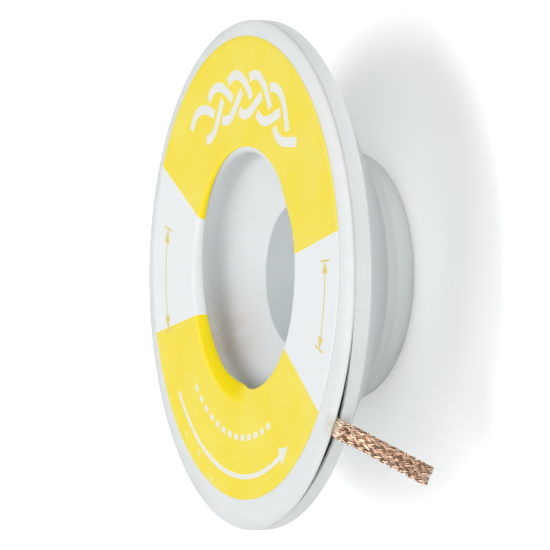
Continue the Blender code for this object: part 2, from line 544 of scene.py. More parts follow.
@dataclass(frozen=True)
class PrintedPaper:
    """Coated paper printed yellow, with a white sector left bare on each side."""

    name: str = "printed_label_paper"
    stains: tuple[Stain, ...] = ()
    yellow: Colour = colour(252, 228, 64)
    pale_yellow: Colour = colour(250, 231, 98)
    sheenless_bent_yellow: Colour = colour(255, 228, 0)
    paper: Colour = colour(238, 241, 242)
    edge_softness: float = 0.04 * MM
    mottles: Grain = Grain(260.0, 5.0, 0.65)
    mottle_range: Pair = (0.3, 0.72)
    fibres: Grain = Grain(5200.0, 3.0, 0.7)
    fibre_height: float = 0.003 * MM
    roughness: Pair = (0.5, 0.6)
    specular: float = 0.25
    inner_share: float = 0.05
    inner_scale: float = 0.3 * MM

    def half_plane(self, graph: NodeGraph, flat: object, line: "SectorLine") -> Socket:
        """Work out on which side of a line a point lies, from the distance to it along its normal.

        Args:
            graph: The material's graph.
            flat: Where the point lies on the label before it is bent.
            line: The line.

        Returns:
            1 on the line's left-hand side and 0 on the other, with a soft printed edge.
        """
        along = graph.vector("DOT_PRODUCT", flat, line.normal(), "Value")
        edge = (-self.edge_softness, self.edge_softness)
        return graph.ramp(graph.maths("SUBTRACT", along, line.offset()), edge)

    def build(self, sectors: list[tuple["SectorLine", "SectorLine"]]) -> Material:
        """Make the material: yellow ink in mottles, deeper where the paper is bent as a painted loss of
        sheen, and bare paper.

        Args:
            sectors: The two lines that bound each white sector, which lies on the left-hand side of both.

        Returns:
            The material.
        """
        graph = NodeGraph(self.name)
        place = graph.place()
        flat = graph.attribute("flat", "Vector")
        mottle = graph.ramp(graph.noise(place, self.mottles), self.mottle_range)
        shade = graph.mix(mottle, self.yellow, self.pale_yellow)
        # painted light: the bent paper's yellow is deeper and stands for the sheen that it no longer shows
        shade = graph.mix(graph.attribute("bend"), shade, self.sheenless_bent_yellow)
        for first, second in sectors:
            inside = graph.times(self.half_plane(graph, flat, first), self.half_plane(graph, flat, second))
            shade = graph.mix(inside, shade, self.paper)
        return graph.finished(
            Base_Color=graph.stained(shade, place, self.stains),
            Roughness=graph.ramp(mottle, RISING, self.roughness),
            Normal=graph.bump(graph.noise(place, self.fibres), self.fibre_height),
            Specular_IOR_Level=self.specular,
            Subsurface_Weight=self.inner_share,
            Subsurface_Scale=self.inner_scale,
        )


@dataclass(frozen=True)
class PrintInk:
    """A printed mark's ink, slightly uneven over the paper's fibres."""

    name: str
    tint: Colour
    worn: Colour
    wear: Grain = Grain(1400.0, 4.0, 0.7)
    wear_range: Pair = (0.52, 0.78)
    most_worn: float = 0.7
    roughness: Pair = (0.42, 0.5)

    def build(self) -> Material:
        """Make the material: the ink's colour, worn to the ground's in small specks.

        Returns:
            The material.
        """
        graph = NodeGraph(self.name)
        wear = graph.ramp(graph.noise(graph.place(), self.wear), self.wear_range, (0.0, self.most_worn))
        shade = graph.mix(wear, self.tint, self.worn)
        return graph.finished(Base_Color=shade, Roughness=graph.ramp(wear, RISING, self.roughness))


@dataclass(frozen=True)
class BareCopper:
    """Bare copper strands under a thin coat of flux, with painted shade down between them."""

    name: str = "woven_copper"
    bright: Colour = colour(252, 230, 208)
    plain: Colour = colour(238, 190, 158)
    oxide_and_shade_brown: Colour = colour(100, 58, 36)
    flux: Colour = colour(234, 212, 190)
    oxide: Grain = Grain(2400.0, 4.0, 0.7)
    oxide_range: Pair = (0.45, 0.72)
    most_oxide: float = 0.75
    roughness: Pair = (0.24, 0.42)
    cover: Grain = Grain(1500.0, 3.0, 0.6)
    cover_range: Pair = (0.3, 0.6)
    least_cover: float = 0.45
    sunk_cover: float = 0.25
    cover_roughness: float = 0.6
    scratches: Grain = Grain(9000.0)
    scratch_height: float = 0.002 * MM
    coat: float = 0.25
    coat_roughness: float = 0.2

    def build(self) -> Material:
        """Make the material: a tone for each strand, oxide in patches along it, flux, and fine scratches.

        Returns:
            The material.
        """
        graph = NodeGraph(self.name)
        place = graph.place()
        painted_sunk_shade = graph.attribute("shade")
        oxide = graph.ramp(graph.noise(place, self.oxide), self.oxide_range, (0.0, self.most_oxide))
        shade = graph.mix(graph.attribute("tone"), self.plain, self.bright)
        # real oxide in patches, and painted shade where the mesh's shade value marks strands dipping under
        # others
        shade = graph.mix(painted_sunk_shade, graph.mix(oxide, shade, self.oxide_and_shade_brown), self.oxide_and_shade_brown)
        cover = graph.ramp(graph.noise(place, self.cover), self.cover_range, (self.least_cover, 1.0))
        cover = graph.times(cover, graph.attribute("flux"))
        cover = graph.times(cover, graph.ramp(painted_sunk_shade, RISING, (1.0, self.sunk_cover)))
        roughness = graph.ramp(oxide, (0.0, self.most_oxide), self.roughness)
        return graph.finished(
            Base_Color=graph.mix(cover, shade, self.flux),
            Metallic=graph.maths("SUBTRACT", 1.0, cover),
            Roughness=graph.maths("MAXIMUM", roughness, graph.times(cover, self.cover_roughness)),
            Normal=graph.bump(graph.noise(place, self.scratches), self.scratch_height),
            Coat_Weight=self.coat,
            Coat_Roughness=self.coat_roughness,
        )


@dataclass(frozen=True)
class StudioFloor:
    """A matt white table top, lit a little from below, that looks lighter than the light that it gives."""

    name: str = "studio_floor"
    tint: Colour = colour(250, 250, 250)
    shade: Colour = colour(247, 248, 248)
    patches: Grain = Grain(6.0)
    patch_range: Pair = (0.3, 0.7)
    roughness: Pair = (0.75, 0.85)
    specular: float = 0.2
    glow: float = 0.036
    shown_glow: float = 0.3

    def build(self) -> Material:
        """Make the material: two whites in wide patches, and a weak glow, stronger where it is seen.

        Returns:
            The material.
        """
        graph = NodeGraph(self.name)
        seen = graph.node("ShaderNodeLightPath", {}).outputs["Is Camera Ray"]
        patches = graph.noise(graph.place(), self.patches)
        return graph.finished(
            Base_Color=graph.mix(patches, self.tint, self.shade),
            Roughness=graph.ramp(patches, self.patch_range, self.roughness),
            Specular_IOR_Level=self.specular,
            Emission_Color=WHITE,
            Emission_Strength=graph.maths("ADD", graph.times(seen, self.shown_glow), self.glow),
        )


@dataclass(frozen=True)
class RimSeam:
    """The joint between the two rims, which part where the braid comes out."""

    azimuth: float = math.radians(-37.0)
    half_angle: float = math.radians(26.5)
    blunt: float = 0.12
    foot: float = 0.05
    depth: float = 0.475 * MM
    gap: float = 0.012 * MM
    front_rise: float = 0.10 * MM
    rear_drop: float = 0.33 * MM

    def opening(self, azimuth: np.ndarray) -> np.ndarray:
        """Work out how far the rims part: a hyperbola's blunt peak, whose sides run out in soft feet.

        With s as 1 less the root of the squared turn and the squared bluntness, the height is half of s
        plus the root of s squared and the foot squared.

        Args:
            azimuth: Angle round the axis.

        Returns:
            The opening, 1 at its middle and nearly 0 past the half angle.
        """
        slope = 1.0 - np.hypot(turn_from(azimuth, self.azimuth) / self.half_angle, self.blunt)
        peak = 1.0 - self.blunt
        return (slope + np.hypot(slope, self.foot)) / (peak + math.hypot(peak, self.foot))


@dataclass
class FrontMoulding:
    """The front flange with its rounded rim, and the sunk hub with the tube through the bobbin."""

    seam: RimSeam
    face_depth: float = 0.11 * MM
    round_width: float = 2.0 * MM
    edge_round: float = 0.035 * MM
    plate_depth: float = 0.95 * MM
    lip_width: float = 0.5 * MM
    lip_slope_width: float = 1.2 * MM
    mouth_round: float = 0.6 * MM
    recess_radius: float = 10.1 * MM
    recess_floor_depth: float = 2.05 * MM
    recess_fillet: float = 0.9 * MM
    bore_radius: float = 5.9 * MM
    bore_lip_depth: float = 4.75 * MM
    bore_lip_round: float = 0.08 * MM
    hub_wall: float = 1.0 * MM
    tube_end: float = BODY_HEIGHT - 0.3 * MM
    tube_round: float = 0.2 * MM
    seam_reach: float = 1.6 * MM
    face_rings: int = 4
    round_rings: int = 22
    corner_steps: int = 5
    fillet_steps: int = 14
    lip_turn: float = 235.0

    def mouth_radius(self) -> float:
        """Return the radius of the flat face's inner edge, where the recess's mouth starts to round."""
        return self.recess_radius + self.mouth_round

    def face(self, radius: np.ndarray) -> np.ndarray:
        """Work out the front face's depth: flat, then a quarter of an ellipse down to the seam at the rim.

        Args:
            radius: Distance from the axis, outside the recess's mouth.

        Returns:
            The face's depth there.
        """
        share = np.clip((radius - (RIM_RADIUS - self.round_width)) / self.round_width, 0.0, 1.0)
        rise = self.seam.depth - self.seam.gap / 2.0 - self.edge_round - self.face_depth
        return self.face_depth + rise * (1.0 - np.sqrt(1.0 - share**2))

    def recess_corner(self) -> np.ndarray:
        """Round the corner between the hub's inner cone and the recess's wall.

        Returns:
            Points of radius and depth, from the cone upward.
        """
        fall = self.bore_lip_depth - self.recess_floor_depth
        cone_angle = math.atan2(fall, self.recess_radius - self.bore_radius)
        tangent = self.recess_fillet * math.tan((math.pi / 2.0 - cone_angle) / 2.0)
        centre = (self.recess_radius - self.recess_fillet, self.recess_floor_depth - tangent)
        return arc(centre, self.recess_fillet, 90.0 - math.degrees(cone_angle), 0.0, self.fillet_steps)

    def hub_depth(self, radius: float) -> float:
        """Work out the depth of the hub's outer cone: the inner cone's, and one wall square to its slope.

        Args:
            radius: Distance from the axis.

        Returns:
            The outer cone's depth there.
        """
        slope = (self.bore_lip_depth - self.recess_floor_depth) / (self.recess_radius - self.bore_radius)
        inner = self.recess_floor_depth + slope * (self.recess_radius - radius)
        return inner + self.hub_wall * math.hypot(1.0, slope)

    def outline(self) -> np.ndarray:
        """Draw the closed outline, from the mouth of the recess outward.

        Returns:
            Points of radius and depth.
        """
        mouth = self.mouth_radius()
        rim_depth = self.seam.depth - self.seam.gap / 2.0
        quarter = np.sin(np.linspace(0.0, math.pi / 2.0, self.round_rings))
        face_radius = np.concatenate([
            np.linspace(mouth, RIM_RADIUS - self.round_width, self.face_rings + 1)[:-1],
            RIM_RADIUS - self.round_width * (1.0 - quarter),
        ])
        lip = RIM_RADIUS - self.lip_width
        hub = self.recess_radius + self.hub_wall
        tube = self.bore_radius + self.hub_wall
        edge, turn, lip_round = self.edge_round, self.tube_round, self.bore_lip_round
        end, steps = self.tube_end - turn, self.corner_steps
        lip_depth = self.bore_lip_depth + lip_round
        under = [
            (lip, rim_depth),
            (lip - self.lip_slope_width, self.plate_depth),
            (hub, self.plate_depth),
            (hub, self.hub_depth(hub)),
            (tube, self.hub_depth(tube)),
        ]
        brink_centre = (mouth, self.face_depth + self.mouth_round)
        brink = arc(brink_centre, self.mouth_round, 180.0, 270.0, self.fillet_steps)
        return np.concatenate([
            np.stack([face_radius, self.face(face_radius)], axis=1),
            arc((RIM_RADIUS - edge, rim_depth - edge), edge, 0.0, 90.0, steps)[1:],
            under,
            arc((tube - turn, end), turn, 0.0, 90.0, steps),
            arc((self.bore_radius + turn, end), turn, 90.0, 180.0, steps),
            arc((self.bore_radius + lip_round, lip_depth), lip_round, 180.0, self.lip_turn, steps),
            self.recess_corner(),
            brink[:-1],
        ])

    def build(self, finish: Material) -> Piece:
        """Turn the outline round the axis, raise the rim over the braid's exit, and make the piece.

        Args:
            finish: Its material.

        Returns:
            The piece.
        """
        outline = supported(self.outline())
        azimuth = around(TURN_STEPS)
        weight = smooth_step(outline[:, 0], RIM_RADIUS - self.seam_reach, RIM_RADIUS)
        depth = outline[:, 1] - self.seam.front_rise * self.seam.opening(azimuth) * weight
        points = placed(outline[:, 0], azimuth, depth)
        # no painted shade on the front moulding
        surface = ring_surface(points, {"painted_cone_shade": np.zeros(points.shape[:2])})
        return make_piece("front_moulding", surface, [finish], ("front_flange",))


@dataclass
class RearMoulding:
    """The rear rim's band, the cone behind the wound braid, and the hollow round boss."""

    seam: RimSeam
    band_depth: float = 1.8 * MM
    band_round: float = 0.3 * MM
    edge_round: float = 0.04 * MM
    shell: float = 0.8 * MM
    boss_base_radius: float = 11.4 * MM
    boss_base_depth: float = 7.9 * MM
    boss_radius: float = 10.5 * MM
    boss_round: float = 2.3 * MM
    hole_radius: float = 7.2 * MM
    hole_round: float = 0.15 * MM
    cone_steps: int = 24
    lip_width: float = 0.33 * MM
    lip_slope_width: float = 1.37 * MM
    corner_steps: int = 5
    fillet_steps: int = 8
    boss_steps: int = 20
    hole_steps: int = 4
    cone_margins: Pair = (0.5 * MM, 0.12 * MM)
    painted_cone_shade_foot: float = 0.2 * MM
    painted_cone_shade_brink: Pair = (0.6 * MM, 0.1 * MM)

    def slope(self) -> float:
        """Return the cone's rise in depth for each step inward."""
        return (self.boss_base_depth - self.band_depth) / (RIM_RADIUS - self.boss_base_radius)

    def inner_depth(self, radius: float) -> float:
        """Return the depth of the cone's inner face at a radius, one shell above its outer face."""
        outer = self.band_depth + self.slope() * (RIM_RADIUS - radius)
        return outer - self.shell * math.hypot(1.0, self.slope())

    def band_corner(self) -> np.ndarray:
        """Round the corner between the band and the cone.

        Returns:
            Points of radius and depth, from the band inward.
        """
        cone_angle = math.degrees(math.atan(self.slope()))
        tangent = self.band_round * math.tan(math.radians(90.0 - cone_angle) / 2.0)
        centre = (RIM_RADIUS - self.band_round, self.band_depth - tangent)
        return arc(centre, self.band_round, 0.0, 90.0 - cone_angle, self.fillet_steps)

    def outline(self) -> np.ndarray:
        """Draw the closed outline, from the rim's upper edge down its outer side.

        Returns:
            Points of radius and depth.
        """
        rim_depth = self.seam.depth + self.seam.gap / 2.0
        edge = self.edge_round
        foot = BODY_HEIGHT - self.boss_round
        inner_round = self.boss_round - self.shell
        centre = (self.boss_radius - self.boss_round, foot)
        turn = self.hole_round
        cone_foot = self.boss_base_radius - self.shell
        slope_foot = RIM_RADIUS - self.lip_width - self.lip_slope_width
        above, below = self.cone_margins
        cone = np.linspace(RIM_RADIUS - above, self.boss_base_radius + below, self.cone_steps)
        return np.concatenate([
            arc((RIM_RADIUS - edge, rim_depth + edge), edge, -90.0, 0.0, self.corner_steps),
            self.band_corner(),
            np.stack([cone, self.band_depth + self.slope() * (RIM_RADIUS - cone)], axis=1),
            [(self.boss_base_radius, self.boss_base_depth)],
            arc(centre, self.boss_round, 0.0, 90.0, self.boss_steps),
            arc((self.hole_radius + turn, BODY_HEIGHT - turn), turn, 90.0, 180.0, self.hole_steps),
            [(self.hole_radius, BODY_HEIGHT - self.shell)],
            arc(centre, inner_round, 90.0, 0.0, self.boss_steps // 2),
            [(cone_foot, self.inner_depth(cone_foot)), (slope_foot, self.inner_depth(slope_foot))],
            [(RIM_RADIUS - self.lip_width, rim_depth)],
        ])

    def build(self, finish: Material) -> Piece:
        """Turn the outline round the axis, let the rim down under the exit, and make the piece.

        Args:
            finish: Its material.

        Returns:
            The piece.
        """
        outline = supported(self.outline())
        azimuth = around(TURN_STEPS)
        weight = 1.0 - smooth_step(outline[:, 1], self.seam.depth, self.band_depth - self.band_round)
        depth = outline[:, 1] + self.seam.rear_drop * self.seam.opening(azimuth) * weight
        # painted shade: a value that greys the cone from the boss's foot to near the rim, where the rim
        # shades it
        base, (fading, faded) = self.boss_base_radius, self.painted_cone_shade_brink
        painted_cone_shade = smooth_step(outline[:, 0], base, base + self.painted_cone_shade_foot)
        painted_cone_shade = painted_cone_shade * (1.0 - smooth_step(outline[:, 0], RIM_RADIUS - fading, RIM_RADIUS - faded))
        points = placed(outline[:, 0], azimuth, depth)
        surface = ring_surface(points, {"painted_cone_shade": np.broadcast_to(painted_cone_shade, points.shape[:2])})
        return make_piece("rear_moulding", surface, [finish], ("rear_body",))


@dataclass(frozen=True)
class SectorLine:
    """A straight edge of a printed sector, through a point of the flat label and along a direction."""

    point: Pair
    direction: float

    def normal(self) -> Point:
        """Return the unit vector to the line's left-hand side."""
        angle = math.radians(self.direction)
        return (-math.sin(angle), math.cos(angle), 0.0)

    def offset(self) -> float:
        """Return how far the line lies from the axis along its normal."""
        return self.point[0] * self.normal()[0] + self.point[1] * self.normal()[1]


@dataclass(frozen=True)
class Bulge:
    """A place where the label's hole was cut wider or narrower than a circle."""

    azimuth: float
    height: float
    half_width: float

    def rise(self, azimuth: np.ndarray) -> np.ndarray:
        """Return the height times the squared cosine over a quarter turn each way of the half width."""
        share = np.clip(np.abs(turn_from(azimuth, self.azimuth)) / self.half_width, 0.0, 1.0)
        return self.height * np.cos(share * math.pi / 2.0) ** 2


@dataclass
class FaceLabel:
    """The printed paper ring, stuck on off centre, with its inner edge pushed down over the recess."""

    front: FrontMoulding
    outer_centre: Pair = (-0.3 * MM, 0.6 * MM)
    outer_radius: float = 19.1 * MM
    hole_centre: Pair = (0.42 * MM, 0.58 * MM)
    hole_radius: float = 10.0 * MM
    bulges: tuple[Bulge, ...] = (
        Bulge(math.radians(-50.0), 0.28 * MM, math.radians(50.0)),
        Bulge(math.radians(258.0), -0.38 * MM, math.radians(26.0)),
        Bulge(math.radians(32.0), -0.25 * MM, math.radians(20.0)),
    )
    thickness: float = 0.1 * MM
    outer_pinch: float = 0.07 * MM
    inner_pinch: float = 0.05 * MM
    pinch_width: float = 0.25 * MM
    bedding: float = 0.004 * MM
    wave: float = 0.012 * MM
    fold_radius: float = 0.8 * MM
    fold_azimuth: float = math.radians(175.0)
    fold_slope: float = math.radians(38.0)
    fold_start: float = math.radians(78.0)
    fold_end: float = math.radians(108.0)
    rings: int = 36
    hole_rings: int = 17
    hole_share: float = 0.16
    edge_shares: tuple[float, ...] = (0.972, 0.979, 0.986, 0.993, 1.0)
    inner_share: float = 0.965
    bend_width: float = 0.35 * MM
    wave_counts: Point = (420.0, 510.0, 830.0)
    wave_phases: Pair = (1.3, -0.7)
    left_upper: SectorLine = SectorLine((-9.70 * MM, 5.14 * MM), 150.3)
    left_lower: SectorLine = SectorLine((-7.69 * MM, -3.04 * MM), 10.5)
    right_upper: SectorLine = SectorLine((10.23 * MM, 1.62 * MM), 192.6)
    right_lower: SectorLine = SectorLine((9.52 * MM, -6.64 * MM), -36.3)

    def sectors(self) -> list[tuple[SectorLine, SectorLine]]:
        """Return the pairs of lines that bound the white sectors, which lie on their left-hand sides."""
        return [(self.left_upper, self.left_lower), (self.right_upper, self.right_lower)]

    def fold(self, azimuth: np.ndarray) -> np.ndarray:
        """Return the steepest slope of the paper's inner edge: full on the left, none on the right."""
        turn = np.abs(turn_from(azimuth, self.fold_azimuth))
        return self.fold_slope * (1.0 - smooth_step(turn, self.fold_start, self.fold_end))

    def laid(self, across: np.ndarray, up: np.ndarray, lift: np.ndarray) -> np.ndarray:
        """Lay points of the flat label on the front moulding.

        Past the recess's brink, the length that is left runs round the fold's circle up to the steepest
        slope, and then straight on at that slope. The radius falls by the circle's sine and the slope's
        cosine, and the depth grows by the rest of the circle's cosine and the slope's sine.

        Args:
            across: First coordinate in the flat label.
            up: Second coordinate in the flat label.
            lift: Height above the plastic.

        Returns:
            The points, with the azimuth kept.
        """
        radius, azimuth = np.hypot(across, up), np.arctan2(up, across)
        brink = self.front.mouth_radius()
        over = np.clip(brink - radius, 0.0, None)
        angle = np.minimum(over / self.fold_radius, self.fold(azimuth))
        straight = over - angle * self.fold_radius
        reach = self.fold_radius + lift
        laid_radius = np.maximum(radius, brink) - reach * np.sin(angle) - straight * np.cos(angle)
        drop = self.fold_radius - reach * np.cos(angle) + straight * np.sin(angle)
        return placed(laid_radius, azimuth, self.front.face(np.maximum(radius, brink)) + drop)

    def paper_top(self, across: np.ndarray, up: np.ndarray) -> np.ndarray:
        """Work out the height of the paper's printed side: its thickness less slow waves of three sines.

        Args:
            across: First coordinate in the flat label.
            up: Second coordinate in the flat label.

        Returns:
            The height above the plastic, before the edges are pinched.
        """
        first, second, third = self.wave_counts
        wave = np.sin(across * first + self.wave_phases[0]) * np.sin(up * second + self.wave_phases[1])
        wave = wave + 0.5 * np.sin((across + up) * third)
        return self.bedding + self.thickness - self.wave * (0.5 + wave / 3.0)

    def build(self, finish: Material) -> Piece:
        """Make the label: rings from the hole's edge to the outer edge, on both sides of the paper.

        Args:
            finish: Its material.

        Returns:
            The piece.
        """
        azimuth = around(TURN_STEPS * 2)
        near_hole = np.linspace(0.0, self.hole_share, self.hole_rings + 1)[:-1]
        inner = np.linspace(self.hole_share, self.inner_share, self.rings)
        share = np.concatenate([near_hole, inner, self.edge_shares])
        spoke = np.stack([np.cos(azimuth), np.sin(azimuth)])
        hole = self.hole_radius + sum(bulge.rise(azimuth) for bulge in self.bulges)
        near = np.array(self.hole_centre)[:, None, None] + spoke * hole
        far = np.array(self.outer_centre)[:, None, None] + spoke * self.outer_radius
        span = np.hypot(*(far - near))
        across, up = near + (far - near) * share
        pinch = self.outer_pinch * (1.0 - smooth_step(span * (1.0 - share), 0.0, self.pinch_width))
        pinch = pinch + self.inner_pinch * (1.0 - smooth_step(span * share, 0.0, self.pinch_width))
        sides = [
            self.laid(across, up, self.paper_top(across, up) - pinch),
            self.laid(across, up, np.full_like(across, self.bedding))[:, ::-1],
        ]
        flat = np.stack([across, up, np.zeros_like(across)], axis=-1)
        brink = self.front.mouth_radius()
        # the bend value drives the painted loss of sheen on the bent paper's yellow
        bend = 1.0 - smooth_step(np.hypot(across, up), brink - self.bend_width, brink)
        bend = bend * self.fold(np.arctan2(up, across)) / self.fold_slope
        values = {
            "flat": np.concatenate([flat, flat[:, ::-1]], axis=1),
            "bend": np.concatenate([bend, bend[:, ::-1]], axis=1),
        }
        surface = ring_surface(np.concatenate(sides, axis=1), values)
        return make_piece("printed_label", surface, [finish], ("face_label",))


@dataclass
class LabelMarks:
    """Plain printed marks on the label: a plait, a row of dashes, and arrows."""

    label: FaceLabel
    ink_height: float = 0.004 * MM
    ink_root: float = 0.012 * MM
    plait_radius: float = 14.9 * MM
    plait_reach: float = 1.7 * MM
    plait_wave: float = math.radians(46.0)
    plait_span: Pair = (math.radians(38.0), math.radians(136.0))
    plait_half_line: float = 0.4 * MM
    plait_gap: float = 0.37
    dash_radius: float = 13.4 * MM
    dash_span: Pair = (math.radians(224.0), math.radians(298.0))
    dash_count: int = 13
    dash_share: float = 0.55
    dash_half_line: float = 0.24 * MM
    arrow_radius: float = 16.6 * MM
    arrow_span: Pair = (math.radians(217.0), math.radians(304.0))
    arrow_half_line: float = 0.2 * MM
    arrow_head: float = 0.75 * MM
    arrow_head_share: float = 0.07
    scale_radius: float = 16.3 * MM
    scale_spans: tuple[Pair, ...] = (
        (math.radians(166.0), math.radians(197.0)),
        (math.radians(-21.0), math.radians(4.0)),
    )
    scale_half_line: float = 0.09 * MM
    scale_head: float = 0.5 * MM
    scale_head_share: float = 0.14
    bar_reach: float = 1.6
    steps: int = 48
    run_steps: int = 14
    short_steps: int = 6
    runs: int = 9
    neck: float = 0.001
    point_half_line: float = 0.01 * MM

    def strips(self, radius: np.ndarray | float, azimuth: np.ndarray, half: np.ndarray | float) -> Surface:
        """Lay flat strips on the paper.

        At each step the section is a rectangle, half a width to each side of the path along its level
        normal, from a little under the paper's top to the ink's height over it.

        Args:
            radius: Distance from the axis, by strip and step.
            azimuth: Angle round the axis, by strip and step.
            half: Half the strip's width, by strip and step.

        Returns:
            The closed strips.
        """
        radius, azimuth, half = np.broadcast_arrays(radius, azimuth, half)
        path = level(radius, azimuth)
        along = unit(np.gradient(path, axis=1))
        side = np.stack([-along[..., 1], along[..., 0]], axis=-1) * half[..., None]
        corners = np.stack([path - side, path - side, path + side, path + side], axis=2)
        across, up = corners[..., 0], corners[..., 1]
        height = np.array([-self.ink_root, self.ink_height, self.ink_height, -self.ink_root])
        return swept_surface(self.label.laid(across, up, self.label.paper_top(across, up) + height))

    def plait(self) -> Surface:
        """Draw three sines a third of a wave apart, each broken where it passes under another.

        A strand's radius is the plait's plus its reach times the phase's sine. It passes under at the
        phases five and eleven sixths of pi, so each unbroken run is half a wave less the gaps at its ends.

        Returns:
            The plait's strips.
        """
        start, end = self.plait_span
        run, strand = np.arange(self.runs)[:, None, None], np.arange(3)[None, :, None]
        share = np.linspace(self.plait_gap / math.pi, 1.0 - self.plait_gap / math.pi, self.run_steps)
        phase = math.pi * (run - 1.0 / 6.0 + share)
        azimuth = start + self.plait_wave * (phase / math.tau - strand / 3.0)
        radius = np.broadcast_to(self.plait_radius + self.plait_reach * np.sin(phase), azimuth.shape)
        kept = (azimuth[..., 0] >= start) & (azimuth[..., -1] <= end)
        return self.strips(radius[kept], azimuth[kept], self.plait_half_line)

    def dashes(self) -> Surface:
        """Draw short arcs in a row, each a share of the row's spacing.

        Returns:
            The row's strips.
        """
        start, end = self.dash_span
        spacing = (end - start) / self.dash_count
        first = start + spacing * np.arange(self.dash_count)[:, None]
        azimuth = first + spacing * self.dash_share * np.linspace(0.0, 1.0, self.short_steps)
        return self.strips(self.dash_radius, azimuth, self.dash_half_line)

    def turning_arrow(self) -> Surface:
        """Draw a long arc whose half width steps up to the head's and then falls evenly to its point.

        Returns:
            The arrow's strip.
        """
        share = np.linspace(0.0, 1.0, self.steps)
        head = 1.0 - self.arrow_head_share
        share = np.sort(np.concatenate([share, [head - self.neck, head]]))
        point = self.arrow_head * (1.0 - share) / self.arrow_head_share + self.point_half_line
        half = np.where(share < head, self.arrow_half_line, point)
        start, end = self.arrow_span
        return self.strips(self.arrow_radius, (start + (end - start) * share)[None], half[None])

    def scale_arrows(self) -> Surface:
        """Draw a thin arc with a head at each end between two short bars, in each white sector.

        Returns:
            The arrows' strips and the bars'.
        """
        share = np.linspace(0.0, 1.0, self.steps)
        head = self.scale_head_share
        shoulder = head + 2.0 * self.neck
        share = np.sort(np.concatenate([share, [head, shoulder, 1.0 - shoulder, 1.0 - head]]))
        near = np.minimum(share, 1.0 - share)
        point = self.scale_head * near / head + self.point_half_line
        half = np.where(near > head + self.neck, self.scale_half_line, point)
        reach = np.linspace(-self.bar_reach, self.bar_reach, self.short_steps) * self.scale_head
        reach = reach + self.scale_radius
        arcs, bars = [], []
        for start, end in self.scale_spans:
            arcs.append(self.strips(self.scale_radius, (start + (end - start) * share)[None], half[None]))
            bars.append(self.strips(reach[None], np.array([[start], [end]]), self.scale_half_line))
        return joined(arcs + bars)

    def build(self, pale: Material, tinted: Material) -> list[Piece]:
        """Make the marks.

        Args:
            pale: The ink of the marks in the yellow sectors.
            tinted: The ink of the marks in the white sectors.

        Returns:
            The pale marks and the tinted ones.
        """
        light = joined([self.plait(), self.dashes(), self.turning_arrow()])
        return [
            make_piece("pale_label_marks", light, [pale]),
            make_piece("tinted_label_marks", self.scale_arrows(), [tinted]),
        ]


